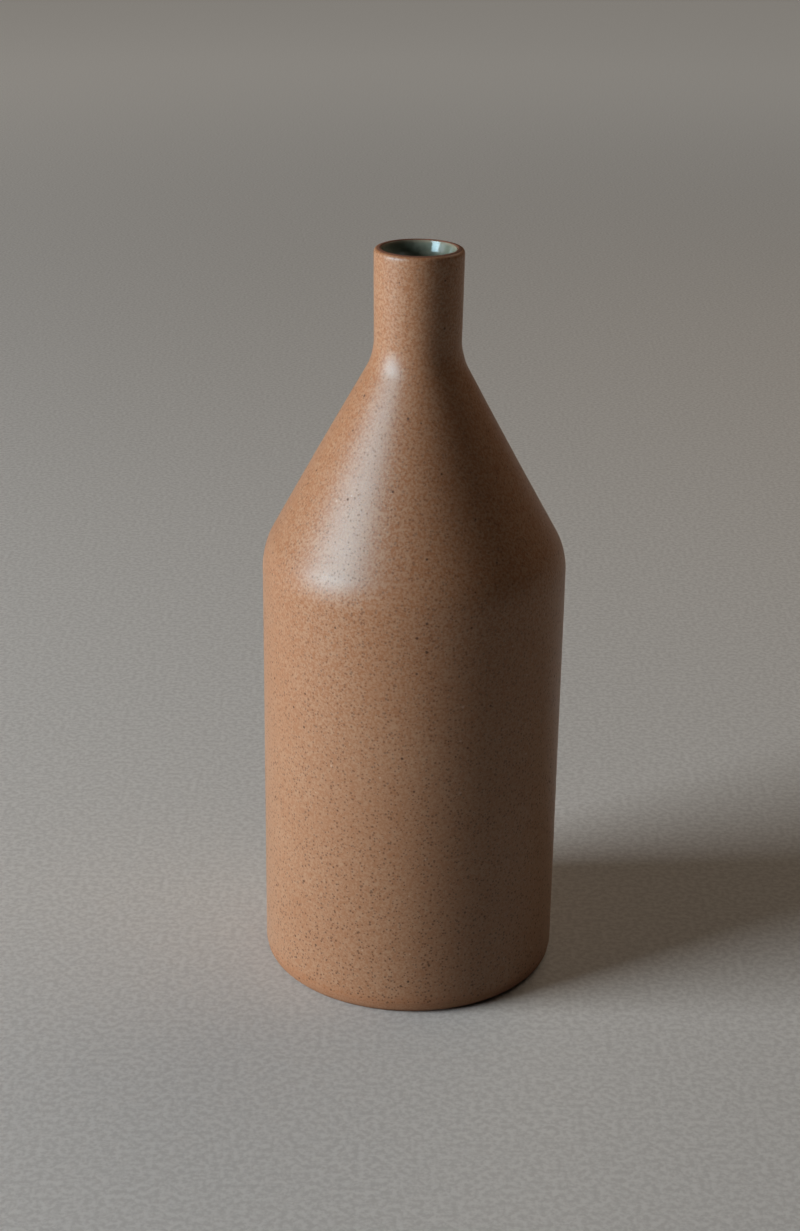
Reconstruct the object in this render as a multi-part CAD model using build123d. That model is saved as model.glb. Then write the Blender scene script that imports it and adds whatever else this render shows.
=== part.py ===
"""A stoneware bottle vase for a single stem.

The pot is raised in four clay sections: a footed base, a straight wall, a conical shoulder and a
narrow neck. Each meets the next in a stepped lap that is bedded in a thin seam of slip. A satin
coat covers the outside, from just above the foot to just under the lip, and a glossy liner glaze
makes the inside hold water. The clay is bare at the foot and along the crest of the lip.

Millimetres, +Z up. The origin is on the table, at the centre of the foot.
"""

import os

from build123d import *

# Outside of the finished pot
HEIGHT = 238.0
BODY_RADIUS = 48.0
SHOULDER_HEIGHT = 142.0  # where the lines of wall and cone would cross
NECK_HEIGHT = 205.0  # where the lines of cone and neck would cross
NECK_BASE_RADIUS = 13.4
NECK_TOP_RADIUS = 13.8
FOOT_ROUND = 3.0
SHOULDER_ROUND = 20.5
NECK_ROUND = 18.0
LIP_ROUND = 1.0

# Inside of the finished pot
CHAMBER_RADIUS = 43.8
BORE_RADIUS = 10.0
MOUTH_RADIUS = 11.35  # at the crest of the lip
MOUTH_DEPTH = 4.5  # how far below the crest the bore starts to open out
FLOOR_HEIGHT = 8.3
CHAMBER_SHOULDER_HEIGHT = 141.0  # where the lines of inner wall and inner cone would cross
CHAMBER_NECK_HEIGHT = 203.7  # where the lines of inner cone and bore would cross
FLOOR_ROUND = 9.0
CHAMBER_SHOULDER_ROUND = 16.0
CHAMBER_NECK_ROUND = 20.0
MOUTH_ROUND = 12.0

# Glazes
COAT_THICKNESS = 0.25
COAT_FOOT_LINE = 3.5
LINER_THICKNESS = 0.3
LIP_BARE_DEPTH = 0.2  # both glazes stop this far below the crest of the lip

# Underside
RECESS_RADIUS = 38.0
RECESS_DEPTH = 2.0

# Joints between the clay sections, from the table up
SEAM_THICKNESS = 0.3
BASE_JOINT_HEIGHT = 6.0
BASE_JOINT_STEP = 6.0
SHOULDER_JOINT_HEIGHT = 130.0
SHOULDER_JOINT_STEP = 4.0
NECK_JOINT_HEIGHT = 211.0
NECK_JOINT_STEP = 3.0

OUTSIDE = 2 * BODY_RADIUS  # a radius that is beyond the whole pot
CLAY_BORE_RADIUS = BORE_RADIUS + LINER_THICKNESS
CLAY_CHAMBER_RADIUS = CHAMBER_RADIUS + LINER_THICKNESS


def shifted(start: Vector, end: Vector, distance: float) -> tuple[Vector, Vector]:
    """The run from start to end, moved sideways to its left by a distance."""
    side = (end - start).normalized().rotate(Axis.Z, 90) * distance
    return start + side, end + side


def crossing(first: tuple[Vector, Vector], second: tuple[Vector, Vector]) -> Vector:
    """The point where two runs, drawn out to full lines, cross."""
    along = first[1] - first[0]
    other = second[1] - second[0]
    share = (second[0] - first[0]).cross(other).Z / along.cross(other).Z
    return first[0] + along * share


def corners(points: list[Vector], distance: float) -> list[Vector]:
    """The inner corners of a run of points, with every run moved to its left by a distance."""
    runs = [shifted(start, end, distance) for start, end in zip(points, points[1:])]
    return [crossing(first, second) for first, second in zip(runs, runs[1:])]


def turned(profile: list[Vector], rounds: list[float]) -> Part:
    """The solid that a profile makes when it turns about the pot's axis.

    The profile's points are (radius, height), from one point on the axis to another, and rounds
    holds the radius at each corner between them.
    """
    outline = FilletPolyline(*profile, radius=rounds)
    face = make_face(outline.edges() + Line(profile[-1], profile[0]).edges())
    return revolve(Plane.XZ * face, Axis.Z)


def outer_form(inset: float) -> Part:
    """The pot as if it were solid, with its upright surface set in by a distance."""
    shoulder = Vector(BODY_RADIUS, SHOULDER_HEIGHT)
    neck = Vector(NECK_BASE_RADIUS, NECK_HEIGHT)
    runs = [Vector(BODY_RADIUS, 0), shoulder, neck, Vector(NECK_TOP_RADIUS, HEIGHT)]
    shoulder, neck = corners(runs, inset)
    profile = [
        Vector(0, 0),
        Vector(BODY_RADIUS - inset, 0),
        shoulder,
        neck,
        Vector(NECK_TOP_RADIUS - inset, HEIGHT),
        Vector(0, HEIGHT),
    ]
    rounds = [FOOT_ROUND, SHOULDER_ROUND - inset, NECK_ROUND + inset, LIP_ROUND]
    return turned(profile, rounds)


def chamber_form(outset: float) -> Part:
    """The hollow inside as a solid, with its surface moved out into the wall by a distance."""
    throat = Vector(BORE_RADIUS, HEIGHT - MOUTH_DEPTH)
    runs = [
        Vector(0, FLOOR_HEIGHT),
        Vector(CHAMBER_RADIUS, FLOOR_HEIGHT),
        Vector(CHAMBER_RADIUS, CHAMBER_SHOULDER_HEIGHT),
        Vector(BORE_RADIUS, CHAMBER_NECK_HEIGHT),
        throat,
        throat + (Vector(MOUTH_RADIUS, HEIGHT) - throat) * 2,
    ]
    floor_corner, shoulder, neck, throat = corners(runs, -outset)
    _, above = shifted(*runs[-2:], -outset)
    profile = [
        Vector(0, floor_corner.Y),
        floor_corner,
        shoulder,
        neck,
        throat,
        above,
        Vector(0, above.Y),
    ]
    rounds = [
        FLOOR_ROUND + outset,
        CHAMBER_SHOULDER_ROUND + outset,
        CHAMBER_NECK_ROUND - outset,
        MOUTH_ROUND - outset,
        0.0,
    ]
    return turned(profile, rounds)


def band(low: float, high: float) -> Part:
    """Everything between two heights."""
    disc = Cylinder(OUTSIDE, high - low, align=(Align.CENTER, Align.CENTER, Align.MIN))
    return Pos(0, 0, low) * disc


def foot_recess() -> Part:
    """The shallow dish turned into the underside, with a side that slopes at 45 degrees."""
    return Cone(
        RECESS_RADIUS,
        RECESS_RADIUS - RECESS_DEPTH,
        RECESS_DEPTH,
        align=(Align.CENTER, Align.CENTER, Align.MIN),
    )


def clay_body() -> Part:
    """All of the clay, before it is parted into its sections."""
    return outer_form(COAT_THICKNESS) - chamber_form(LINER_THICKNESS) - foot_recess()


def below_joint(height: float, step: float, radius: float) -> Part:
    """Everything below a stepped joint, which stands higher inside a radius than outside it."""
    return band(-HEIGHT, height) + Pos(0, 0, height) * Cylinder(
        radius, step, align=(Align.CENTER, Align.CENTER, Align.MIN)
    )


def joint(height: float, step: float, inner: float, outer: float) -> tuple[Part, Part]:
    """A lap joint in the middle of a wall.

    Args are the joint's height and step, and the wall's inner and outer radii there. The result is
    what lies below the seam of slip, and what lies below its upper face.
    """
    middle = (inner + outer + SEAM_THICKNESS) / 2
    under_seam = below_joint(height - SEAM_THICKNESS, step, middle - SEAM_THICKNESS)
    under_upper_section = below_joint(height, step, middle)
    return under_seam, under_upper_section


def clay_sections() -> dict[str, Part]:
    """The four clay sections and the three seams of slip that bed them together."""
    wall = (CLAY_CHAMBER_RADIUS, BODY_RADIUS - COAT_THICKNESS)
    neck = (CLAY_BORE_RADIUS, NECK_BASE_RADIUS - COAT_THICKNESS)
    joints = [
        ("base_seam", joint(BASE_JOINT_HEIGHT, BASE_JOINT_STEP, *wall)),
        ("shoulder_seam", joint(SHOULDER_JOINT_HEIGHT, SHOULDER_JOINT_STEP, *wall)),
        ("neck_seam", joint(NECK_JOINT_HEIGHT, NECK_JOINT_STEP, *neck)),
    ]
    names = ["footed_base", "body_wall", "shoulder_cone", "neck_collar"]
    pieces = {}
    rest = clay_body()
    for name, (seam_name, (under_seam, under_upper_section)) in zip(names, joints):
        pieces[name] = rest & under_seam
        pieces[seam_name] = (rest & under_upper_section) - under_seam
        rest = rest - under_upper_section
    pieces[names[-1]] = rest
    return pieces


def satin_coat() -> Part:
    """The satin coat on the outside of the clay."""
    shell = outer_form(0) - outer_form(COAT_THICKNESS)
    return shell & band(COAT_FOOT_LINE, HEIGHT - LIP_BARE_DEPTH)


def liner_glaze() -> Part:
    """The glossy glaze that lines the inside."""
    shell = chamber_form(LINER_THICKNESS) - chamber_form(0)
    return shell & band(0, HEIGHT - LIP_BARE_DEPTH)


def main() -> None:
    """Makes every piece of the pot and writes one STEP file for each."""
    pieces = clay_sections()
    pieces["satin_coat"] = satin_coat()
    pieces["liner_glaze"] = liner_glaze()
    os.makedirs("parts", exist_ok=True)
    for name, piece in pieces.items():
        export_step(piece, f"parts/{name}.step")


main()
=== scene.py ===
"""A stoneware bottle vase for a single stem, as it looks when it is fired and glazed.

The clay is thrown in four sections that are bedded together in slip, then coated in satin outside
and in gloss inside. Every piece is turned about one axis and shares the small unevenness that the
hands left, so the pieces nest.

Metres, +Z up. The origin is on the table, at the centre of the foot.
"""

import logging
import math
from dataclasses import dataclass
from enum import Enum
from functools import cached_property
from typing import Callable, Sequence, Union

import bmesh
import bpy
from mathutils import Matrix, Vector, noise

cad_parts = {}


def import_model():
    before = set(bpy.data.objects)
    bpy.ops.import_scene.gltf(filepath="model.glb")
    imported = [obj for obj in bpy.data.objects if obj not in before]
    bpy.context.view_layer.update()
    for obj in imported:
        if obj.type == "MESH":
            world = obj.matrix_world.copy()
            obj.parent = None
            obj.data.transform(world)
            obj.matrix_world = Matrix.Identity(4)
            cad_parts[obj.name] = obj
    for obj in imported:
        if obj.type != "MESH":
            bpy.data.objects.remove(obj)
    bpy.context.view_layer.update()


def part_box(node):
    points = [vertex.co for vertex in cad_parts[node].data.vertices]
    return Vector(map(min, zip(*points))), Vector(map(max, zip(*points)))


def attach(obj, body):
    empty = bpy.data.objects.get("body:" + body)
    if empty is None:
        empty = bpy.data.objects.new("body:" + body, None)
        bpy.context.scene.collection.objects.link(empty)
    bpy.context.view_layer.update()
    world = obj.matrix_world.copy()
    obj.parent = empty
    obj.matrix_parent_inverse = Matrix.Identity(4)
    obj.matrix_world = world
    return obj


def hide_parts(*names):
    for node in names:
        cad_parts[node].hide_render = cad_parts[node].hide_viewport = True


LOG = logging.getLogger("bottle_vase")
MM = 0.001
FULL_TURN = 2 * math.pi
WELD_DISTANCE = 0.001 * MM
UP = Vector((0, 0, 1))

Colour = tuple[float, float, float, float]
Socket = bpy.types.NodeSocket
Value = Union[float, Sequence[float], Socket]


class Slot(Enum):
    """The material slots of the pot."""

    STONEWARE = "stoneware"
    SLIP = "slip"
    COAT = "satin_coat"
    LINER = "liner_glaze"


class Detail(Enum):
    """How finely a piece is turned: the steps of a full turn and the spacing along its outline."""

    SHOWN = (256, 1.0 * MM)
    HIDDEN = (192, 5.0 * MM)


# ---------------------------------------------------------------------------------------------
# The form of the pot
# ---------------------------------------------------------------------------------------------


@dataclass(frozen=True)
class Corner:
    """A corner of a line in the plane of radius and height, with the radius that rounds it."""

    radius: float
    height: float
    rounding: float = 0.0

    @property
    def place(self) -> Vector:
        """The corner as a point of that plane."""
        return Vector((self.radius, self.height))


def turn_between(before: Vector, after: Vector) -> float:
    """The angle from one direction to the next, positive when the line turns left.

    Args:
        before: The direction of the run that arrives.
        after: The direction of the run that leaves.

    Returns:
        The angle in radians.
    """
    return math.atan2(before.x * after.y - before.y * after.x, before.dot(after))


def moved_aside(line: Sequence[Corner], distance: float) -> list[Corner]:
    """Moves every run of a line to its left, and fits the roundings to that.

    Args:
        line: The corners in order, from one end to the other.
        distance: How far to the left the runs go; negative is to the right.

    Returns:
        The corners of the moved line.
    """
    runs = []
    for start, end in zip(line, line[1:]):
        along = (end.place - start.place).normalized()
        aside = Vector((-along.y, along.x)) * distance
        runs.append((start.place + aside, along, end.place + aside))
    moved = [Corner(*runs[0][0])]
    for corner, (start, along, _), (other, onward, _) in zip(line[1:], runs, runs[1:]):
        across = along.x * onward.y - along.y * onward.x
        gap = other - start
        share = (gap.x * onward.y - gap.y * onward.x) / across
        rounding = corner.rounding - math.copysign(distance, turn_between(along, onward) * distance)
        moved.append(Corner(*(start + along * share), rounding if distance else corner.rounding))
    moved.append(Corner(*runs[-1][2]))
    return moved


@dataclass(frozen=True)
class BottleForm:
    """The lines that the surfaces of the finished pot follow, and where its pieces meet."""

    body_radius: float
    height: float
    clay_radius: float
    clay_chamber_radius: float
    clay_floor: float
    foot_line: float
    lip_line: float
    shoulder_height: float = 142.0 * MM
    neck_height: float = 205.0 * MM
    neck_base_radius: float = 13.4 * MM
    neck_top_radius: float = 13.8 * MM
    foot_round: float = 3.0 * MM
    shoulder_round: float = 20.5 * MM
    neck_round: float = 18.0 * MM
    lip_round: float = 1.4 * MM
    liner_thickness: float = 0.3 * MM
    bore_radius: float = 10.0 * MM
    mouth_radius: float = 11.35 * MM
    mouth_depth: float = 4.5 * MM
    mouth_round: float = 12.0 * MM
    floor_round: float = 9.0 * MM
    chamber_shoulder_height: float = 141.0 * MM
    chamber_shoulder_round: float = 16.0 * MM
    chamber_neck_height: float = 203.7 * MM
    chamber_neck_round: float = 20.0 * MM

    @classmethod
    def from_frame(cls) -> "BottleForm":
        """Reads the driving sizes from the frame's nodes.

        Returns:
            The form of the pot.
        """
        coat_low, coat_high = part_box("satin_coat")
        _, wall_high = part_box("body_wall")
        liner_low, liner_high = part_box("liner_glaze")
        _, collar_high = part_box("neck_collar")
        return cls(
            body_radius=coat_high.x,
            height=collar_high.z,
            clay_radius=wall_high.x,
            clay_chamber_radius=liner_high.x,
            clay_floor=liner_low.z,
            foot_line=coat_low.z,
            lip_line=coat_high.z,
        )

    @property
    def coat_thickness(self) -> float:
        """How thick the satin coat is."""
        return self.body_radius - self.clay_radius

    @cached_property
    def outer_face(self) -> list[Corner]:
        """The glazed outer surface."""
        return self.outside(0.0)

    @cached_property
    def inner_face(self) -> list[Corner]:
        """The glazed inner surface."""
        return self.inside(0.0)

    def outside(self, inset: float) -> list[Corner]:
        """The outer surface from the edge of the foot up to the lip.

        Args:
            inset: How far inside the glazed surface the line lies.

        Returns:
            The corners of the line.
        """
        line = [
            Corner(self.body_radius, 0.0),
            Corner(self.body_radius, self.shoulder_height, self.shoulder_round),
            Corner(self.neck_base_radius, self.neck_height, self.neck_round),
            Corner(self.neck_top_radius, self.height),
        ]
        return moved_aside(line, inset)

    def inside(self, outset: float) -> list[Corner]:
        """The inner surface from the centre of the floor up through the mouth.

        Args:
            outset: How far behind the glazed surface, in the wall, the line lies.

        Returns:
            The corners of the line.
        """
        floor = self.clay_floor + self.liner_thickness
        chamber_radius = self.clay_chamber_radius - self.liner_thickness
        flare = self.mouth_radius - self.bore_radius
        line = [
            Corner(0.0, floor),
            Corner(chamber_radius, floor, self.floor_round),
            Corner(chamber_radius, self.chamber_shoulder_height, self.chamber_shoulder_round),
            Corner(self.bore_radius, self.chamber_neck_height, self.chamber_neck_round),
            Corner(self.bore_radius, self.height - self.mouth_depth, self.mouth_round),
            Corner(self.mouth_radius + flare, self.height + self.mouth_depth),
        ]
        return moved_aside(line, -outset)


def radius_at(line: Sequence[Corner], height: float) -> float:
    """The radius of a line at a height, with its corners taken as sharp.

    Args:
        line: The corners of the line in order.
        height: The height to read at.

    Returns:
        The radius there.
    """
    for low, high in zip(line, line[1:]):
        if low.height <= height <= high.height and high.height > low.height:
            share = (height - low.height) / (high.height - low.height)
            return low.radius + share * (high.radius - low.radius)
    return line[-1].radius if height > line[-1].height else line[0].radius


@dataclass(frozen=True)
class HandThrown:
    """The small unevenness of a thrown pot, which every piece shares.

    The rings that the fingers leave climb in a spiral. They are deeper inside, where nothing
    smoothed them, than outside. Nothing is moved outwards past the true form.
    """

    form: BottleForm
    ovality: float = 0.12 * MM
    lean: float = 0.25 * MM
    outside_ring_depth: float = 0.035 * MM
    outside_ring_pitch: float = 9.0 * MM
    inside_ring_depth: float = 0.22 * MM
    inside_ring_pitch: float = 6.5 * MM

    def ring(self, angle: float, height: float, pitch: float) -> float:
        """How deep a spiral ring is at a place, from 0 to 1.

        Args:
            angle: The direction about the pot's axis, in radians.
            height: The height of the place.
            pitch: The rise of the spiral in one turn.

        Returns:
            The depth, from 0 to 1.
        """
        drift = noise.noise(Vector((math.cos(angle), math.sin(angle), height / (5 * pitch))))
        wave = math.sin(FULL_TURN * height / pitch - angle + 2.2 * drift)
        strength = 0.55 + 0.45 * noise.noise(Vector((0.0, 0.0, height / (2.3 * pitch))))
        return strength * (0.5 + 0.5 * wave)

    def moved(self, place: Vector) -> Vector:
        """Where the unevenness moves a point.

        Args:
            place: A point of the true form.

        Returns:
            The point on the thrown pot.
        """
        radius = math.hypot(place.x, place.y)
        if radius < self.form.bore_radius / 2:
            return place
        angle = math.atan2(place.y, place.x)
        outer = radius_at(self.form.outer_face, place.z)
        inner = radius_at(self.form.inner_face, place.z)
        share = min(1.0, max(0.0, (radius - inner) / (outer - inner)))
        outside = self.outside_ring_depth * self.ring(angle, place.z, self.outside_ring_pitch)
        inside = self.inside_ring_depth * self.ring(angle, place.z, self.inside_ring_pitch)
        oval = self.ovality * (0.5 - 0.5 * math.cos(2 * angle + 0.8)) * radius / self.form.body_radius
        scale = 1 - (oval + share * outside - (1 - share) * inside) / radius
        above_wall = max(0.0, place.z - self.form.shoulder_height)
        cone = self.form.neck_height - self.form.shoulder_height
        bow = math.sin(math.pi * min(1.0, above_wall / cone)) if above_wall else 0.0
        return Vector((place.x * scale - self.lean * bow, place.y * scale, place.z))


# ---------------------------------------------------------------------------------------------
# Turning a piece
# ---------------------------------------------------------------------------------------------


class Outline:
    """A wire in the plane of radius and height, which turns into a piece.

    The wire is spun through one sector, and the sector is doubled until it goes right round.
    """

    CUTS = "cuts"
    DOUBLINGS = 4

    def __init__(self) -> None:
        """Starts with no wire."""
        self.mesh = bmesh.new()
        self.cuts = self.mesh.edges.layers.int.new(self.CUTS)

    def run(
        self,
        line: Sequence[Corner],
        low: float | None = None,
        high: float | None = None,
        spacing: float = Detail.HIDDEN.value[1],
    ) -> tuple[bmesh.types.BMVert, bmesh.types.BMVert]:
        """Adds a line, rounds its corners and trims it between two heights.

        Args:
            line: The corners in order.
            low: The height below which the line is cut away, if any.
            high: The height above which the line is cut away, if any.
            spacing: The longest stretch between two points.

        Returns:
            The lower and the upper end of what is left.
        """
        before = set(self.mesh.verts)
        points = [self.mesh.verts.new((corner.radius, 0, corner.height)) for corner in line]
        for start, end in zip(points, points[1:]):
            self.mesh.edges.new((start, end))
        for index in range(1, len(line) - 1):
            if line[index].rounding > 0:
                self._round(points[index], line[index - 1 : index + 2], spacing)
        for height, side in ((low, -UP), (high, UP)):
            if height is not None:
                new = [point for point in self.mesh.verts if point not in before]
                wires = list({edge for point in new for edge in point.link_edges})
                bmesh.ops.bisect_plane(
                    self.mesh,
                    geom=new + wires,
                    dist=WELD_DISTANCE,
                    plane_co=UP * height,
                    plane_no=side,
                    clear_outer=True,
                )
        new = [point for point in self.mesh.verts if point not in before]
        for wire in {edge for point in new for edge in point.link_edges}:
            wire[self.cuts] = math.ceil(wire.calc_length() / spacing) - 1
        ends = sorted((p for p in new if len(p.link_edges) == 1), key=lambda p: p.co.z)
        return ends[0], ends[-1]

    def _round(self, point: bmesh.types.BMVert, around: Sequence[Corner], spacing: float) -> None:
        """Rounds one corner of a line with an arc of that corner's own radius.

        Args:
            point: The point of the wire at the corner.
            around: The corner, between the ones before and after it.
            spacing: The longest stretch between two points.
        """
        before, corner, after = around
        arrive = corner.place - before.place
        turn = abs(turn_between(arrive, after.place - corner.place))
        steps = max(4, math.ceil(corner.rounding * turn / spacing))
        bmesh.ops.bevel(
            self.mesh,
            geom=[point],
            offset=corner.rounding * math.tan(turn / 2),
            offset_type="OFFSET",
            affect="VERTICES",
            segments=steps,
            profile=0.5,
            material=-1,
        )

    def _divide(self) -> None:
        """Divides every long stretch of the wire evenly, by the cuts that it was given."""
        for cuts in sorted({wire[self.cuts] for wire in self.mesh.edges} - {0}):
            layer = self.mesh.edges.layers.int[self.CUTS]
            wires = [wire for wire in self.mesh.edges if wire[layer] == cuts]
            bmesh.ops.subdivide_edges(self.mesh, edges=wires, cuts=cuts)

    def join(
        self,
        start: bmesh.types.BMVert,
        end: bmesh.types.BMVert,
        *between: tuple[float, float],
        bead: float = 0.0,
    ) -> None:
        """Joins two ends of the wire with straight stretches.

        Args:
            start: The end to leave from.
            end: The end to arrive at.
            between: The radius and height of each corner on the way.
            bead: The radius that rounds both ends, for the edge of a glaze.
        """
        stops = [self.mesh.verts.new((radius, 0, height)) for radius, height in between]
        chain = [start, *stops, end]
        for first, second in zip(chain, chain[1:]):
            self.mesh.edges.new((first, second))
        if bead:
            for point in (start, end):
                rounded = bmesh.ops.bevel(
                    self.mesh,
                    geom=[point],
                    offset=bead,
                    offset_type="OFFSET",
                    affect="VERTICES",
                    segments=4,
                    profile=0.5,
                    material=-1,
                )
                for wire in rounded["edges"]:
                    wire[self.cuts] = 0

    def turned(self, name: str, steps: int) -> bpy.types.Object:
        """Spins the wire into a closed piece.

        Args:
            name: The name of the piece.
            steps: How many steps the full turn takes.

        Returns:
            The piece's object, at the origin.
        """
        self._divide()
        sector = FULL_TURN / 2**self.DOUBLINGS
        bmesh.ops.spin(
            self.mesh,
            geom=self.mesh.verts[:] + self.mesh.edges[:],
            cent=(0, 0, 0),
            axis=UP,
            dvec=(0, 0, 0),
            angle=sector,
            steps=steps // 2**self.DOUBLINGS,
        )
        for doubling in range(self.DOUBLINGS):
            whole = self.mesh.verts[:] + self.mesh.edges[:] + self.mesh.faces[:]
            copied = bmesh.ops.duplicate(self.mesh, geom=whole)["geom"]
            bmesh.ops.rotate(
                self.mesh,
                cent=(0, 0, 0),
                matrix=Matrix.Rotation(sector * 2**doubling, 3, "Z"),
                verts=[item for item in copied if isinstance(item, bmesh.types.BMVert)],
            )
        bmesh.ops.remove_doubles(self.mesh, verts=self.mesh.verts, dist=WELD_DISTANCE)
        bmesh.ops.dissolve_degenerate(self.mesh, edges=self.mesh.edges, dist=WELD_DISTANCE / 10)
        bmesh.ops.recalc_face_normals(self.mesh, faces=self.mesh.faces)
        for face in self.mesh.faces:
            face.smooth = True
        data = bpy.data.meshes.new(name)
        self.mesh.to_mesh(data)
        self.mesh.free()
        piece = bpy.data.objects.new(name, data)
        bpy.context.scene.collection.objects.link(piece)
        return piece


def reshape(piece: bpy.types.Object, moved: Callable[[Vector], Vector]) -> None:
    """Moves every point of a piece.

    Args:
        piece: The piece.
        moved: Gives the new place of a point from its old one.
    """
    for point in piece.data.vertices:
        point.co = moved(point.co)
    piece.data.update()


# ---------------------------------------------------------------------------------------------
# Shader nodes
# ---------------------------------------------------------------------------------------------


class Graph:
    """A shader node tree that is built one node at a time."""

    MIX_A, MIX_B, MIX_COLOUR = 6, 7, 2

    def __init__(self, tree: bpy.types.NodeTree) -> None:
        """Takes the tree to build in."""
        self.tree = tree

    def add(self, kind: str, inputs: dict[str | int, Value], **settings: object) -> bpy.types.Node:
        """Adds a node.

        Args:
            kind: The node's type.
            inputs: A socket to link, or a constant to set, for each input.
            settings: Properties of the node.

        Returns:
            The node.
        """
        node = self.tree.nodes.new(kind)
        for key, value in settings.items():
            setattr(node, key, value)
        for key, value in inputs.items():
            if isinstance(value, Socket):
                self.tree.links.new(value, node.inputs[key])
            else:
                node.inputs[key].default_value = value
        return node

    def math(self, operation: str, *operands: Value) -> Socket:
        """The result of a Math node."""
        return self.add("ShaderNodeMath", dict(enumerate(operands)), operation=operation).outputs[0]

    def mix(self, share: Value, first: Value, second: Value, blend: str = "MIX") -> Socket:
        """A colour between two others.

        Args:
            share: How much of the second colour there is, from 0 to 1.
            first: The colour at a share of 0.
            second: The colour at a share of 1.
            blend: How the two are blended.

        Returns:
            The colour.
        """
        inputs = {0: share, self.MIX_A: first, self.MIX_B: second}
        node = self.add("ShaderNodeMix", inputs, data_type="RGBA", blend_type=blend)
        return node.outputs[self.MIX_COLOUR]

    def step(self, value: Value, low: Value, high: Value, start: float = 0.0, end: float = 1.0) -> Socket:
        """A soft step of a value, from start at low to end at high.

        Args:
            value: The value to read.
            low: Where the step starts.
            high: Where the step ends.
            start: The result at low and before it.
            end: The result at high and past it.

        Returns:
            The stepped value.
        """
        inputs = {"Value": value, "From Min": low, "From Max": high, "To Min": start, "To Max": end}
        node = self.add("ShaderNodeMapRange", inputs, interpolation_type="SMOOTHSTEP")
        return node.outputs["Result"]

    def noise(self, place: Value, scale: Value, detail: float = 2.0, roughness: float = 0.5) -> Socket:
        """Smooth noise between 0 and 1."""
        inputs = {"Vector": place, "Scale": scale, "Detail": detail, "Roughness": roughness}
        return self.add("ShaderNodeTexNoise", inputs).outputs["Fac"]

    def place(self) -> Socket:
        """The place on the pot, in metres."""
        return self.add("ShaderNodeTexCoord", {}).outputs["Object"]


@dataclass(frozen=True)
class Effect:
    """A named input or output of an effect that several finishes use."""

    name: str
    kind: str = "NodeSocketFloat"


class EffectGroup:
    """A shader node group that is made once and placed in each finish with its own values."""

    NAME = ""
    INPUTS: tuple[Effect, ...] = ()
    OUTPUTS: tuple[Effect, ...] = ()

    @classmethod
    def tree(cls) -> bpy.types.NodeTree:
        """The group's node tree, made the first time that it is asked for.

        Returns:
            The group's tree.
        """
        found = bpy.data.node_groups.get(cls.NAME)
        if found:
            return found
        tree = bpy.data.node_groups.new(cls.NAME, "ShaderNodeTree")
        for effect in cls.INPUTS:
            tree.interface.new_socket(name=effect.name, in_out="INPUT", socket_type=effect.kind)
        for effect in cls.OUTPUTS:
            tree.interface.new_socket(name=effect.name, in_out="OUTPUT", socket_type=effect.kind)
        graph = Graph(tree)
        source = graph.add("NodeGroupInput", {})
        results = cls.build(graph, {effect.name: source.outputs[effect.name] for effect in cls.INPUTS})
        graph.add("NodeGroupOutput", results)
        return tree

    @classmethod
    def build(cls, graph: Graph, given: dict[str, Socket]) -> dict[str, Socket]:
        """Builds the inside of the group.

        Args:
            graph: The group's own tree.
            given: The group's inputs.

        Returns:
            A socket for each of the group's outputs.
        """
        raise NotImplementedError

    @classmethod
    def placed(cls, graph: Graph, **inputs: Value) -> dict[str, Socket]:
        """Places the group in a finish.

        Args:
            graph: The finish's tree.
            inputs: The value of each input, with underscores for spaces.

        Returns:
            The group's outputs by name.
        """
        node = graph.add("ShaderNodeGroup", {}, node_tree=cls.tree())
        for key, value in inputs.items():
            socket = node.inputs[key.replace("_", " ")]
            if isinstance(value, Socket):
                graph.tree.links.new(value, socket)
            else:
                socket.default_value = value
        return {effect.name: node.outputs[effect.name] for effect in cls.OUTPUTS}


PLACE = Effect("Place", "NodeSocketVector")


class Specks(EffectGroup):
    """Round grains of iron or grog, cut by the surface at any height, so no two are alike."""

    NAME = "specks"
    INPUTS = (PLACE, Effect("Spacing"), Effect("Share"), Effect("Radius"))
    OUTPUTS = (Effect("Mask"),)

    @classmethod
    def build(cls, graph: Graph, given: dict[str, Socket]) -> dict[str, Socket]:
        """One grain in some of the cells of a cell pattern, each with its own size.

        Args:
            graph: The group's tree.
            given: The group's inputs by name.

        Returns:
            The group's outputs by name.
        """
        scale = graph.math("DIVIDE", 1.0, given["Spacing"])
        cells = graph.add("ShaderNodeTexVoronoi", {"Vector": given["Place"], "Scale": scale})
        random = graph.add("ShaderNodeSeparateColor", {"Color": cells.outputs["Color"]}).outputs
        chosen = graph.math("LESS_THAN", random["Red"], given["Share"])
        spread = graph.math("MULTIPLY_ADD", random["Green"], 0.9, 0.45)
        radius = graph.math("MULTIPLY", graph.math("MULTIPLY", given["Radius"], scale), spread)
        core = graph.math("MULTIPLY", radius, 0.45)
        spot = graph.step(cells.outputs["Distance"], radius, core)
        return {"Mask": graph.math("MULTIPLY", spot, chosen)}


class Mottle(EffectGroup):
    """The uneven tone of a coat that breaks over the grain of the clay."""

    NAME = "mottle"
    INPUTS = (PLACE, Effect("Size"))
    OUTPUTS = (Effect("Tone"), Effect("Height"))

    @classmethod
    def build(cls, graph: Graph, given: dict[str, Socket]) -> dict[str, Socket]:
        """Fine noise with its middle drawn out, and the same noise left soft as a height.

        Args:
            graph: The group's tree.
            given: The group's inputs by name.

        Returns:
            The group's outputs by name.
        """
        scale = graph.math("DIVIDE", 1.0, given["Size"])
        grain = graph.noise(given["Place"], scale, 3.0, 0.6)
        return {"Tone": graph.step(grain, 0.36, 0.64), "Height": grain}


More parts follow.
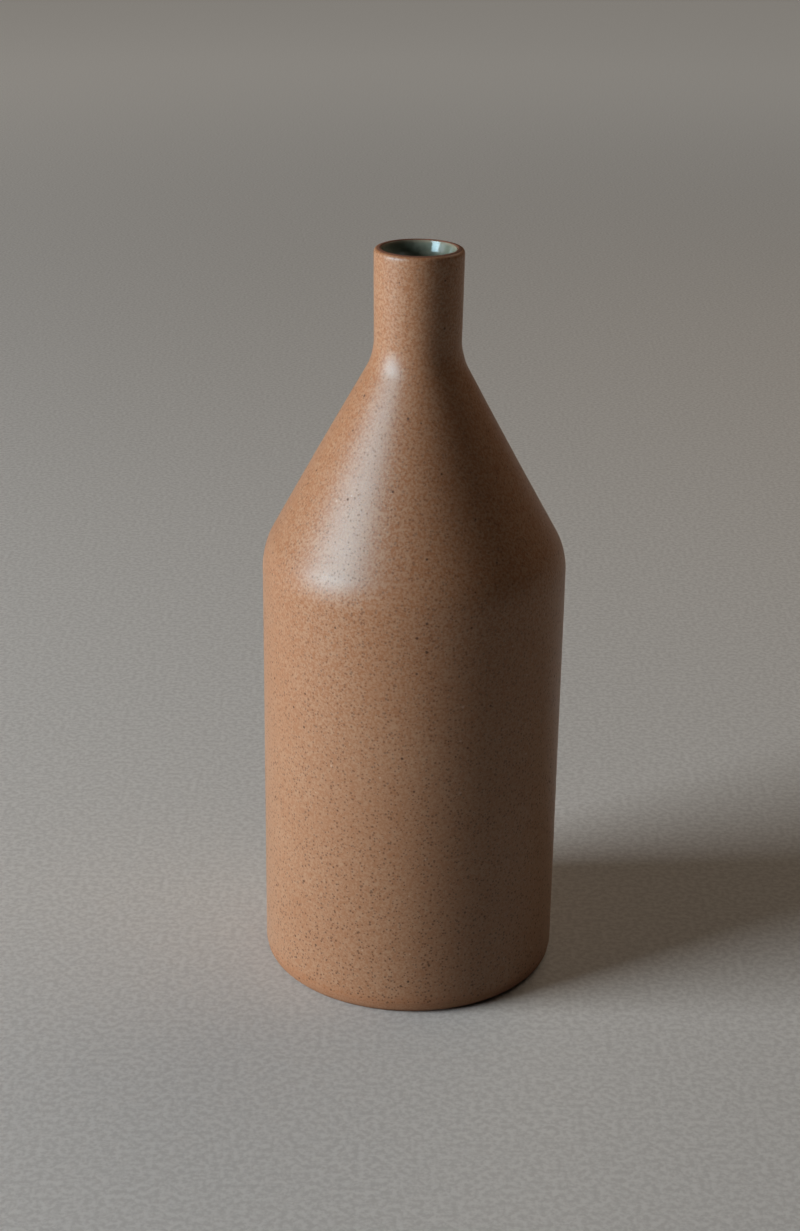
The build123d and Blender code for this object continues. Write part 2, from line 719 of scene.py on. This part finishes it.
class WheelLines(EffectGroup):
    """Fine lines that run round the pot, as a sponge or a rib leaves them."""

    NAME = "wheel lines"
    INPUTS = (PLACE, Effect("Pitch"))
    OUTPUTS = (Effect("Tone"),)

    @classmethod
    def build(cls, graph: Graph, given: dict[str, Socket]) -> dict[str, Socket]:
        """Noise along the wall, which is height on a wall and radius on a floor.

        Args:
            graph: The group's tree.
            given: The group's inputs by name.

        Returns:
            The group's outputs by name.
        """
        parts = graph.add("ShaderNodeSeparateXYZ", {"Vector": given["Place"]}).outputs
        across = graph.math("MULTIPLY", parts["X"], parts["X"])
        radius = graph.math("SQRT", graph.math("MULTIPLY_ADD", parts["Y"], parts["Y"], across))
        along = graph.math("DIVIDE", graph.math("ADD", parts["Z"], radius), given["Pitch"])
        drift = graph.noise(given["Place"], 22.0)
        line = graph.add(
            "ShaderNodeTexNoise",
            {"W": graph.math("ADD", along, drift), "Scale": 1.0, "Detail": 2.0},
            noise_dimensions="1D",
        )
        return {"Tone": line.outputs["Fac"]}


class Edge(EffectGroup):
    """How near a place is to a level where a coat thins, with a wandering border."""

    NAME = "edge"
    INPUTS = (PLACE, Effect("Level"), Effect("Reach"), Effect("Wander"))
    OUTPUTS = (Effect("Mask"),)

    @classmethod
    def build(cls, graph: Graph, given: dict[str, Socket]) -> dict[str, Socket]:
        """One at the level, and nothing past its reach above or below.

        Args:
            graph: The group's tree.
            given: The group's inputs by name.

        Returns:
            The group's outputs by name.
        """
        parts = graph.add("ShaderNodeSeparateXYZ", {"Vector": given["Place"]}).outputs
        off = graph.math("ABSOLUTE", graph.math("SUBTRACT", parts["Z"], given["Level"]))
        drift = graph.math("SUBTRACT", graph.noise(given["Place"], 90.0, 3.0), 0.5)
        wandered = graph.math("MULTIPLY_ADD", drift, given["Wander"], off)
        return {"Mask": graph.step(wandered, given["Reach"], 0.0)}


@dataclass(frozen=True)
class Finish:
    """A finish of the pot, which builds its own material."""

    name: str

    def material(self) -> bpy.types.Material:
        """Makes the material.

        Returns:
            The material, with its own shader.
        """
        made = bpy.data.materials.new(self.name)
        made.use_nodes = True
        made.node_tree.nodes.clear()
        graph = Graph(made.node_tree)
        shader = graph.add("ShaderNodeBsdfPrincipled", self.surface(graph))
        graph.add("ShaderNodeOutputMaterial", {"Surface": shader.outputs["BSDF"]})
        return made

    def surface(self, graph: Graph) -> dict[str, Value]:
        """The inputs of the finish's shader."""
        raise NotImplementedError


@dataclass(frozen=True)
class SatinCoat(Finish):
    """The satin coat: beige over terracotta, with brown specks of iron and a few pale grains."""

    foot_line: float
    lip_line: float
    shoulder: float = 142.0 * MM
    terracotta: Colour = (0.42, 0.185, 0.082, 1)
    beige: Colour = (0.545, 0.345, 0.22, 1)
    rust: Colour = (0.45, 0.19, 0.08, 1)
    iron: Colour = (0.085, 0.036, 0.02, 1)
    pale: Colour = (0.74, 0.58, 0.45, 1)

    def surface(self, graph: Graph) -> dict[str, Value]:
        """Tone, a painted floor reflection low down, specks, thin edges, then the texture of the surface.

        Args:
            graph: The finish's tree.

        Returns:
            The inputs of the finish's shader.
        """
        place = graph.place()
        grain = Mottle.placed(graph, Place=place, Size=0.8 * MM)
        patch = Mottle.placed(graph, Place=place, Size=2.4 * MM)
        cloud = Mottle.placed(graph, Place=place, Size=34.0 * MM)
        lines = WheelLines.placed(graph, Place=place, Pitch=1.6 * MM)
        small = Specks.placed(graph, Place=place, Spacing=1.05 * MM, Share=0.85, Radius=0.42 * MM)
        large = Specks.placed(graph, Place=place, Spacing=3.4 * MM, Share=0.4, Radius=0.46 * MM)
        light = Specks.placed(graph, Place=place, Spacing=5.0 * MM, Share=0.3, Radius=0.5 * MM)
        foot = Edge.placed(graph, Place=place, Level=self.foot_line, Reach=5 * MM, Wander=5 * MM)
        lip = Edge.placed(graph, Place=place, Level=self.lip_line, Reach=0.6 * MM, Wander=0.6 * MM)

        tone = graph.mix(graph.step(grain["Tone"], 0.0, 1.0, 0.08, 0.98), self.terracotta, self.beige)
        rise = graph.add("ShaderNodeSeparateXYZ", {0: place}).outputs["Z"]
        # painted reflection of the pale floor: below half the shoulder's height the coat is mixed a quarter
        # toward beige, fading to none at the shoulder
        lower = graph.mix(graph.step(rise, 0.5 * self.shoulder, self.shoulder, 0.25, 0.0), tone, self.beige)
        patchy = graph.mix(graph.math("MULTIPLY", patch["Tone"], 0.16), lower, self.terracotta)
        warm = graph.mix(graph.math("MULTIPLY", cloud["Tone"], 0.16), patchy, self.terracotta)
        streaked = graph.mix(graph.math("MULTIPLY", lines["Tone"], 0.18), warm, self.beige)
        thin = graph.math("MAXIMUM", foot["Mask"], lip["Mask"])
        broken = graph.mix(graph.math("MULTIPLY", thin, 0.45), streaked, self.rust)
        strength = graph.step(rise, 0.0, self.lip_line, 0.6, 0.25)
        faint = graph.mix(graph.math("MULTIPLY", small["Mask"], strength), broken, self.iron)
        dotted = graph.mix(graph.math("MULTIPLY", large["Mask"], 0.75), faint, self.iron)
        colour = graph.mix(graph.math("MULTIPLY", light["Mask"], 0.5), dotted, self.pale)

        gloss = graph.step(grain["Tone"], 0.0, 1.0, 0.36, 0.44)
        specks = graph.math("MAXIMUM", graph.math("MULTIPLY", small["Mask"], 0.7), large["Mask"])
        height = graph.math("MULTIPLY_ADD", specks, 0.5, grain["Height"])
        bump = graph.add("ShaderNodeBump", {"Height": height, "Strength": 1.0, "Distance": 0.02 * MM})
        return {
            "Base Color": colour,
            "Roughness": graph.math("MAXIMUM", gloss, graph.math("MULTIPLY", specks, 0.8)),
            "Normal": bump.outputs["Normal"],
            "IOR": 1.5,
        }


@dataclass(frozen=True)
class LinerGlaze(Finish):
    """The glossy grey-green liner, deeper in tone where it pools and thin at its edge."""

    floor: float
    lip_line: float
    celadon: Colour = (0.27, 0.32, 0.265, 1)
    deep: Colour = (0.13, 0.175, 0.145, 1)
    thin: Colour = (0.42, 0.37, 0.28, 1)
    iron: Colour = (0.06, 0.05, 0.035, 1)
    gloss: Colour = (1.0, 0.75, 0.71, 1)

    def surface(self, graph: Graph) -> dict[str, Value]:
        """Depth of the glaze, its few specks and its slightly wavy gloss.

        Args:
            graph: The finish's tree.

        Returns:
            The inputs of the finish's shader.
        """
        place = graph.place()
        flow = Mottle.placed(graph, Place=place, Size=5.0 * MM)
        lines = WheelLines.placed(graph, Place=place, Pitch=2.6 * MM)
        specks = Specks.placed(graph, Place=place, Spacing=3.4 * MM, Share=0.45, Radius=0.5 * MM)
        pool = Edge.placed(graph, Place=place, Level=self.floor, Reach=9 * MM, Wander=5 * MM)
        lip = Edge.placed(graph, Place=place, Level=self.lip_line, Reach=1.2 * MM, Wander=1 * MM)
        tone = graph.mix(graph.math("MULTIPLY", flow["Tone"], 0.5), self.celadon, self.deep)
        pooled = graph.mix(graph.math("MULTIPLY", pool["Mask"], 0.8), tone, self.deep)
        edged = graph.mix(graph.math("MULTIPLY", lip["Mask"], 0.7), pooled, self.thin)
        colour = graph.mix(graph.math("MULTIPLY", specks["Mask"], 0.6), edged, self.iron)
        height = graph.math("MULTIPLY_ADD", lines["Tone"], 0.6, flow["Height"])
        bump = graph.add("ShaderNodeBump", {"Height": height, "Strength": 1.0, "Distance": 0.1 * MM})
        return {
            "Base Color": colour,
            "Roughness": graph.step(flow["Tone"], 0.0, 1.0, 0.1, 0.16),
            "Normal": bump.outputs["Normal"],
            "IOR": 1.54,
            "Specular IOR Level": 0.95,
            "Specular Tint": self.gloss,
        }


@dataclass(frozen=True)
class BareStoneware(Finish):
    """Bare fired clay: rust orange at the foot, painted shade on its edge, dark red-brown on the lip's
    crest.
    """

    lip_level: float
    orange: Colour = (0.42, 0.2, 0.1, 1)
    buff: Colour = (0.5, 0.29, 0.17, 1)
    # dark red-brown of the lip's fired crest, also used as painted shade at the bottom of the foot
    toasted_lip_and_foot_shade: Colour = (0.23, 0.095, 0.052, 1)
    iron: Colour = (0.07, 0.03, 0.018, 1)

    def surface(self, graph: Graph) -> dict[str, Value]:
        """Sandy grain, turning lines and specks.

        Args:
            graph: The finish's tree.

        Returns:
            The inputs of the finish's shader.
        """
        place = graph.place()
        grain = Mottle.placed(graph, Place=place, Size=0.6 * MM)
        lines = WheelLines.placed(graph, Place=place, Pitch=0.9 * MM)
        specks = Specks.placed(graph, Place=place, Spacing=2.4 * MM, Share=0.5, Radius=0.45 * MM)
        lip = Edge.placed(graph, Place=place, Level=self.lip_level, Reach=4 * MM, Wander=1 * MM)
        # painted contact shadow: the bottom 1.6 mm of the clay at the foot is darkened toward the same
        # red-brown
        foot = Edge.placed(graph, Place=place, Level=0.0, Reach=1.6 * MM, Wander=0.8 * MM)
        tone = graph.mix(grain["Tone"], self.orange, self.buff)
        turned = graph.mix(graph.math("MULTIPLY", lines["Tone"], 0.35), tone, self.orange)
        # the lip's crest is clay fired darker; the darkening at the foot is painted shade
        edges = graph.math("MAXIMUM", lip["Mask"], foot["Mask"])
        fired = graph.mix(graph.math("MULTIPLY", edges, 0.9), turned, self.toasted_lip_and_foot_shade)
        colour = graph.mix(graph.math("MULTIPLY", specks["Mask"], 0.7), fired, self.iron)
        height = graph.math("MULTIPLY_ADD", lines["Tone"], 1.5, grain["Height"])
        bump = graph.add("ShaderNodeBump", {"Height": height, "Strength": 1.0, "Distance": 0.06 * MM})
        return {
            "Base Color": colour,
            "Roughness": graph.step(grain["Tone"], 0.0, 1.0, 0.62, 0.78),
            "Normal": bump.outputs["Normal"],
        }


@dataclass(frozen=True)
class FiredSlip(Finish):
    """Slip that is fired with the clay: finer, flatter and a little greyer."""

    light: Colour = (0.46, 0.3, 0.2, 1)
    dark: Colour = (0.36, 0.21, 0.13, 1)

    def surface(self, graph: Graph) -> dict[str, Value]:
        """A fine grain and nothing else.

        Args:
            graph: The finish's tree.

        Returns:
            The inputs of the finish's shader.
        """
        grain = Mottle.placed(graph, Place=graph.place(), Size=0.35 * MM)
        bump = graph.add(
            "ShaderNodeBump", {"Height": grain["Height"], "Strength": 1.0, "Distance": 0.02 * MM}
        )
        return {
            "Base Color": graph.mix(grain["Tone"], self.light, self.dark),
            "Roughness": graph.step(grain["Tone"], 0.0, 1.0, 0.7, 0.8),
            "Normal": bump.outputs["Normal"],
        }


@dataclass(frozen=True)
class PaleFloor(Finish):
    """The pale table, which is clear from below, and open under the foot so that light gets in."""

    light: Colour = (0.795, 0.81, 0.805, 1)
    dark: Colour = (0.665, 0.675, 0.67, 1)
    bounced: Colour = (0.42, 0.4, 0.37, 1)
    far: Colour = (0.2, 0.185, 0.165, 1)
    opening: float = 44.0 * MM
    glow_start: float = 0.5
    glow_full: float = 2.2

    def off_centre(self, graph: Graph) -> Socket:
        """How far a point of the table is from the middle of the foot."""
        return graph.add("ShaderNodeVectorMath", {0: graph.place()}, operation="LENGTH").outputs["Value"]

    def surface(self, graph: Graph) -> dict[str, Value]:
        """A faint even grain, a weak bounce, and a glow far off where the lights don't reach.

        Args:
            graph: The finish's tree.

        Returns:
            The inputs of the finish's shader.
        """
        grain = Mottle.placed(graph, Place=graph.place(), Size=1.9 * MM)
        pale = graph.mix(grain["Tone"], self.dark, self.light)
        bounce = graph.add("ShaderNodeLightPath", {}).outputs["Is Diffuse Ray"]
        return {
            "Base Color": graph.mix(bounce, pale, self.bounced),
            "Roughness": 0.8,
            "Specular IOR Level": 0.1,
            "Emission Color": self.far,
            "Emission Strength": graph.step(self.off_centre(graph), self.glow_start, self.glow_full),
        }

    def material(self) -> bpy.types.Material:
        """Makes the material, clear from behind and under the foot.

        Returns:
            The material.
        """
        made = super().material()
        graph = Graph(made.node_tree)
        output = next(n for n in graph.tree.nodes if n.type == "OUTPUT_MATERIAL")
        shader = output.inputs["Surface"].links[0].from_socket
        back = graph.add("ShaderNodeNewGeometry", {}).outputs["Backfacing"]
        under_foot = graph.math("LESS_THAN", self.off_centre(graph), self.opening)
        clear = graph.add("ShaderNodeBsdfTransparent", {}).outputs["BSDF"]
        open_here = graph.math("MAXIMUM", back, under_foot)
        sided = graph.add("ShaderNodeMixShader", {0: open_here, 1: shader, 2: clear})
        graph.tree.links.new(sided.outputs[0], output.inputs["Surface"])
        return made


# ---------------------------------------------------------------------------------------------
# The pieces
# ---------------------------------------------------------------------------------------------


@dataclass(frozen=True)
class LapJoint:
    """A stepped joint between two clay sections, with slip in it.

    The lower section stands higher inside than outside. Both heights are those of the upper
    section's faces, and the slip lies under them.
    """

    outer_height: float
    inner_height: float
    middle: float
    slip: float = 0.3 * MM

    @classmethod
    def under(cls, upper: str, step: float, inner: float, outer: float) -> "LapJoint":
        """The joint on which a section of the frame stands.

        Args:
            upper: The frame's node of the section above the joint.
            step: How far the inner face stands above the outer one.
            inner: The wall's inner radius at the joint.
            outer: The wall's outer radius at the joint.

        Returns:
            The joint.
        """
        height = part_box(upper)[0].z
        return cls(height, height + step, (inner + outer + cls.slip) / 2)

    @property
    def above(self) -> tuple[tuple[float, float], tuple[float, float]]:
        """The step's two corners on the upper section, from outside to inside."""
        return (self.middle, self.outer_height), (self.middle, self.inner_height)

    @property
    def below(self) -> tuple[tuple[float, float], tuple[float, float]]:
        """The step's two corners on the lower section, from outside to inside."""
        radius = self.middle - self.slip
        return (radius, self.outer_height - self.slip), (radius, self.inner_height - self.slip)


class Piece:
    """A finished piece: turned, made uneven by hand, dressed and put in the frame."""

    def __init__(self, name: str, node: str, slot: Slot) -> None:
        """Starts a piece.

        Args:
            name: The name of the piece.
            node: The frame's node that it stands for.
            slot: The material slot that it would take; it is kept but not used.
        """
        self.name = name
        self.node = node
        self.slot = slot

    def place(self, shape: bpy.types.Object, hand: HandThrown, material: bpy.types.Material) -> None:
        """Finishes the piece and puts it in the frame.

        Args:
            shape: The piece in its true form.
            hand: The unevenness of the pot.
            material: The piece's finish.
        """
        reshape(shape, hand.moved)
        shape.data.materials.append(material)
        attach(shape, "root")
        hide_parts(self.node)
        LOG.info("%s: %d faces, for %s", self.name, len(shape.data.polygons), self.node)


@dataclass(frozen=True)
class ClayBody:
    """The four thrown sections and the three seams of slip."""

    form: BottleForm
    hand: HandThrown
    clay: bpy.types.Material
    slip: bpy.types.Material
    recess_radius: float = 38.0 * MM
    recess_depth: float = 2.0 * MM
    base_step: float = 6.0 * MM
    shoulder_step: float = 4.0 * MM
    neck_step: float = 3.0 * MM
    arris: float = 0.25 * MM
    turning_pitch: float = 2.4 * MM
    turning_depth: float = 0.12 * MM

    def build(self) -> None:
        """Makes the sections and seams from the table up."""
        form = self.form
        wall = (form.clay_chamber_radius, form.clay_radius)
        bore = form.bore_radius + form.liner_thickness
        neck = (bore, form.neck_base_radius - form.coat_thickness)
        base_joint = LapJoint.under("body_wall", self.base_step, *wall)
        shoulder_joint = LapJoint.under("shoulder_cone", self.shoulder_step, *wall)
        neck_joint = LapJoint.under("neck_collar", self.neck_step, *neck)
        self.base(base_joint)
        self.seam("base_slip", "base_seam", base_joint)
        self.wall("thrown_wall", "body_wall", base_joint, shoulder_joint)
        self.seam("shoulder_slip", "shoulder_seam", shoulder_joint)
        self.wall("thrown_shoulder", "shoulder_cone", shoulder_joint, neck_joint)
        self.seam("neck_slip", "neck_seam", neck_joint)
        self.collar(neck_joint)

    @property
    def outside(self) -> list[Corner]:
        """The outer face of the clay."""
        return self.form.outside(self.form.coat_thickness)

    @property
    def inside(self) -> list[Corner]:
        """The inner face of the clay."""
        return self.form.inside(self.form.liner_thickness)

    def base(self, joint: LapJoint) -> None:
        """The footed base: floor, foot ring, turned dish and the upstand for the wall.

        Args:
            joint: The joint to the wall.
        """
        form = self.form
        steps, spacing = Detail.SHOWN.value
        dish = self.recess_radius - self.recess_depth
        edge = 0.8 * MM
        under = [
            Corner(0.0, self.recess_depth),
            Corner(dish, self.recess_depth, edge),
            Corner(self.recess_radius, 0.0, edge),
            Corner(form.clay_radius, 0.0, form.foot_round),
            Corner(form.clay_radius, form.shoulder_height),
        ]
        outline = Outline()
        _, top = outline.run(under, high=joint.below[0][1], spacing=spacing)
        _, rim = outline.run(self.inside, high=joint.below[1][1])
        outline.join(top, rim, *joint.below)
        shape = outline.turned("thrown_base", steps)
        reshape(shape, self.turned_dish)
        Piece("thrown_base", "footed_base", Slot.STONEWARE).place(shape, self.hand, self.clay)

    def turned_dish(self, place: Vector) -> Vector:
        """Cuts the rings of the turning tool into the dish under the foot.

        Args:
            place: A point of the base.

        Returns:
            The point with the rings cut.
        """
        radius = math.hypot(place.x, place.y)
        edge = self.recess_radius - self.recess_depth
        if abs(place.z - self.recess_depth) > WELD_DISTANCE or radius > edge - self.turning_pitch:
            return place
        fade = min(1.0, (edge - self.turning_pitch - radius) / self.turning_pitch)
        wave = 0.5 - 0.5 * math.cos(FULL_TURN * radius / self.turning_pitch)
        return Vector((place.x, place.y, place.z - self.turning_depth * fade * wave))

    def seam(self, name: str, node: str, joint: LapJoint) -> None:
        """A stepped ring of slip.

        Args:
            name: The name of the piece.
            node: The frame's node that it stands for.
            joint: The joint to build at.
        """
        outline = Outline()
        outer_low, outer_high = outline.run(
            self.outside, low=joint.below[0][1], high=joint.outer_height
        )
        inner_low, inner_high = outline.run(
            self.inside, low=joint.below[1][1], high=joint.inner_height
        )
        outline.join(outer_low, inner_low, *joint.below)
        outline.join(outer_high, inner_high, *joint.above)
        shape = outline.turned(name, Detail.HIDDEN.value[0])
        Piece(name, node, Slot.SLIP).place(shape, self.hand, self.slip)

    def wall(self, name: str, node: str, lower: LapJoint, upper: LapJoint) -> None:
        """A section of wall between two joints.

        Args:
            name: The name of the piece.
            node: The frame's node that it stands for.
            lower: The joint below.
            upper: The joint above.
        """
        outline = Outline()
        outer_low, outer_high = outline.run(
            self.outside, low=lower.outer_height, high=upper.below[0][1]
        )
        inner_low, inner_high = outline.run(
            self.inside, low=lower.inner_height, high=upper.below[1][1]
        )
        outline.join(outer_low, inner_low, *lower.above)
        outline.join(outer_high, inner_high, *upper.below)
        shape = outline.turned(name, Detail.HIDDEN.value[0])
        Piece(name, node, Slot.STONEWARE).place(shape, self.hand, self.clay)

    def collar(self, joint: LapJoint) -> None:
        """The neck with its rounded lip.

        Args:
            joint: The joint below.
        """
        form = self.form
        steps, spacing = Detail.SHOWN.value
        neck = self.outside[-1].radius
        throat = self.inside[-2]
        crest = [
            Corner(radius_at(self.outside, joint.outer_height), joint.outer_height),
            Corner(neck, form.height, form.lip_round),
            Corner(radius_at(self.inside, form.height), form.height, self.arris),
            throat,
            Corner(throat.radius, joint.inner_height),
        ]
        outline = Outline()
        outer, inner = outline.run(crest, spacing=spacing)
        outline.join(outer, inner, *joint.above)
        shape = outline.turned("thrown_neck", steps)
        Piece("thrown_neck", "neck_collar", Slot.STONEWARE).place(shape, self.hand, self.clay)


@dataclass(frozen=True)
class Glazes:
    """The satin coat outside and the glossy liner inside, as closed thin shells."""

    form: BottleForm
    hand: HandThrown
    coat: bpy.types.Material
    liner: bpy.types.Material
    bead: float = 0.1 * MM
    foot_waver: float = 0.7 * MM
    lip_waver: float = 0.08 * MM
    waver_fade: float = 8.0 * MM

    def build(self) -> None:
        """Makes both glazes."""
        self.satin_coat()
        self.liner_glaze()

    def satin_coat(self) -> None:
        """The coat from above the foot to under the lip, with wavy rounded edges."""
        form = self.form
        steps, spacing = Detail.SHOWN.value
        outline = Outline()
        ends = {"low": form.foot_line, "high": form.lip_line}
        front_low, front_high = outline.run(self.over_lip(0.0), spacing=spacing, **ends)
        back_low, back_high = outline.run(self.over_lip(form.coat_thickness), **ends)
        outline.join(front_low, back_low, bead=self.bead)
        outline.join(front_high, back_high, bead=self.bead)
        shape = outline.turned("satin_coat_shell", steps)
        reshape(shape, self.wavy_edge)
        Piece("satin_coat_shell", "satin_coat", Slot.COAT).place(shape, self.hand, self.coat)

    def over_lip(self, inset: float) -> list[Corner]:
        """The outer surface with its turn in over the lip, which the coat follows.

        Args:
            inset: How far inside the glazed surface the line lies.

        Returns:
            The corners of the line.
        """
        form = self.form
        *rising, top = form.outside(inset)
        turn = Corner(top.radius, form.height, form.lip_round)
        return [*rising, turn, Corner(top.radius - 2 * form.lip_round, form.height)]

    def liner_glaze(self) -> None:
        """The liner from the floor to under the lip, with a wavy rounded edge."""
        form = self.form
        steps, spacing = Detail.SHOWN.value
        outline = Outline()
        _, front = outline.run(form.inner_face, high=form.lip_line, spacing=spacing)
        _, back = outline.run(form.inside(form.liner_thickness), high=form.lip_line)
        outline.join(front, back, bead=self.bead)
        shape = outline.turned("liner_glaze_shell", steps)
        reshape(shape, self.wavy_edge)
        Piece("liner_glaze_shell", "liner_glaze", Slot.LINER).place(shape, self.hand, self.liner)

    def wavy_edge(self, place: Vector) -> Vector:
        """Lets the edges of a glaze wander up from the foot and down from the lip.

        Args:
            place: A point of the glaze.

        Returns:
            The point with the edge moved.
        """
        angle = math.atan2(place.y, place.x)
        wander = 0.5 + 0.5 * noise.noise(Vector((2.6 * math.cos(angle), 2.6 * math.sin(angle), 7.0)))
        from_foot = max(0.0, 1 - abs(place.z - self.form.foot_line) / self.waver_fade)
        from_lip = max(0.0, 1 - abs(place.z - self.form.lip_line) / self.waver_fade)
        if math.hypot(place.x, place.y) < self.form.clay_radius - self.bead:
            from_foot = 0.0
        rise = wander * (self.foot_waver * from_foot - self.lip_waver * from_lip)
        return Vector((place.x, place.y, place.z + rise))


# ---------------------------------------------------------------------------------------------
# The studio
# ---------------------------------------------------------------------------------------------


@dataclass(frozen=True)
class SoftLight:
    """A rectangular soft light that points at the pot from a direction."""

    name: str
    azimuth: float
    elevation: float
    distance: float
    width: float
    height: float
    power: float
    colour: tuple[float, float, float] = (1.0, 1.0, 1.0)
    diffuse: bool = True
    glossy: bool = True

    def build(self, aim: Vector) -> None:
        """Puts the light in the studio.

        Args:
            aim: The point that the light faces.
        """
        data = bpy.data.lights.new(self.name, "AREA")
        data.shape = "RECTANGLE"
        data.size = self.width
        data.size_y = self.height
        data.energy = self.power
        data.color = self.colour
        azimuth = math.radians(self.azimuth)
        elevation = math.radians(self.elevation)
        flat = Vector((-math.sin(azimuth), -math.cos(azimuth), 0)) * math.cos(elevation)
        away = flat + UP * math.sin(elevation)
        light = bpy.data.objects.new(self.name, data)
        light.location = aim + away * self.distance
        light.rotation_euler = away.to_track_quat("Z", "Y").to_euler()
        light.visible_diffuse = self.diffuse
        light.visible_glossy = self.glossy
        light.visible_camera = False
        bpy.context.scene.collection.objects.link(light)


@dataclass(frozen=True)
class Studio:
    """The floor, the lights and the camera."""

    form: BottleForm
    camera_distance: float = 644.6 * MM
    camera_height: float = 380.9 * MM
    camera_pitch: float = 22.13
    camera_roll: float = 0.81
    camera_yaw: float = -0.38
    lens: float = 63.5
    sensor: float = 36.0
    floor_size: float = 6.0
    ambient: Colour = (1.0, 0.97, 0.94, 1)
    ambient_strength: float = 0.004
    backdrop_strength: float = 0.2
    below_strength: float = 0.2
    exposure: float = 0.1
    gamma: float = 0.94

    def build(self) -> None:
        """Makes the studio."""
        self.floor()
        self.lights()
        self.world()
        self.camera()

    def floor(self) -> None:
        """A plain pale floor."""
        mesh = bmesh.new()
        bmesh.ops.create_grid(mesh, x_segments=1, y_segments=1, size=self.floor_size / 2)
        data = bpy.data.meshes.new("floor")
        mesh.to_mesh(data)
        mesh.free()
        data.materials.append(PaleFloor("pale_floor").material())
        floor = bpy.data.objects.new("floor", data)
        bpy.context.scene.collection.objects.link(floor)

    def lights(self) -> None:
        """A soft key from the left, two lights that only make highlights, and a back light."""
        aim = UP * self.form.height * 0.5
        SoftLight(
            "key", azimuth=72, elevation=16, distance=2.0, width=1.03, height=0.77, power=39.5,
            glossy=False,
        ).build(aim)
        SoftLight(
            "key_gloss", azimuth=72, elevation=16, distance=2.0, width=1.03, height=0.77, power=41.7,
            colour=(0.5, 0.84, 1.0), diffuse=False,
        ).build(aim)
        SoftLight(
            "sheen", azimuth=55, elevation=30, distance=1.2, width=0.45, height=0.5, power=6.6,
            colour=(0.4, 0.8, 1.0), diffuse=False,
        ).build(aim)
        SoftLight(
            "back", azimuth=222, elevation=46, distance=1.2, width=1.1, height=0.5, power=2.4,
            colour=(1.0, 0.79, 0.6),
        ).build(aim)

    def world(self) -> None:
        """A low light all round, brighter where the camera sees it and from below the horizon.

        Only the underside sees below the horizon, through the opening in the floor.
        """
        scene = bpy.context.scene
        scene.world = bpy.data.worlds.new("studio")
        scene.world.use_nodes = True
        graph = Graph(scene.world.node_tree)
        seen = graph.add("ShaderNodeLightPath", {}).outputs["Is Camera Ray"]
        direction = graph.add("ShaderNodeTexCoord", {}).outputs["Generated"]
        height = graph.add("ShaderNodeSeparateXYZ", {0: direction}).outputs["Z"]
        below = graph.math("MULTIPLY", graph.math("LESS_THAN", height, 0.0), self.below_strength)
        around = graph.step(seen, 0.0, 1.0, self.ambient_strength, self.backdrop_strength)
        background = scene.world.node_tree.nodes["Background"]
        background.inputs["Color"].default_value = self.ambient
        graph.tree.links.new(graph.math("MAXIMUM", around, below), background.inputs["Strength"])
        scene.view_settings.view_transform = "Standard"
        scene.view_settings.exposure = self.exposure
        scene.view_settings.gamma = self.gamma

    def camera(self) -> None:
        """The camera, a little above the pot and looking down on it."""
        data = bpy.data.cameras.new("camera")
        data.lens = self.lens
        data.sensor_width = self.sensor
        camera = bpy.data.objects.new("camera", data)
        spot = Matrix.Translation((0, -self.camera_distance, self.camera_height))
        heading = Matrix.Rotation(math.radians(-self.camera_yaw), 4, "Z")
        tilt = Matrix.Rotation(math.radians(90 - self.camera_pitch), 4, "X")
        roll = Matrix.Rotation(math.radians(self.camera_roll), 4, "Z")
        camera.matrix_world = spot @ heading @ tilt @ roll
        bpy.context.scene.collection.objects.link(camera)
        bpy.context.scene.camera = camera


def main() -> None:
    """Builds the pot around the frame, then the studio."""
    logging.basicConfig(level=logging.INFO, format="%(name)s: %(message)s")
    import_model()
    form = BottleForm.from_frame()
    hand = HandThrown(form)
    clay = BareStoneware("bare_stoneware", form.height).material()
    slip = FiredSlip("fired_slip").material()
    coat = SatinCoat("satin_coat_finish", form.foot_line, form.lip_line).material()
    liner = LinerGlaze("liner_glaze_finish", form.clay_floor, form.lip_line).material()
    ClayBody(form, hand, clay, slip).build()
    Glazes(form, hand, coat, liner).build()
    Studio(form).build()


if __name__ == "__main__":
    main()
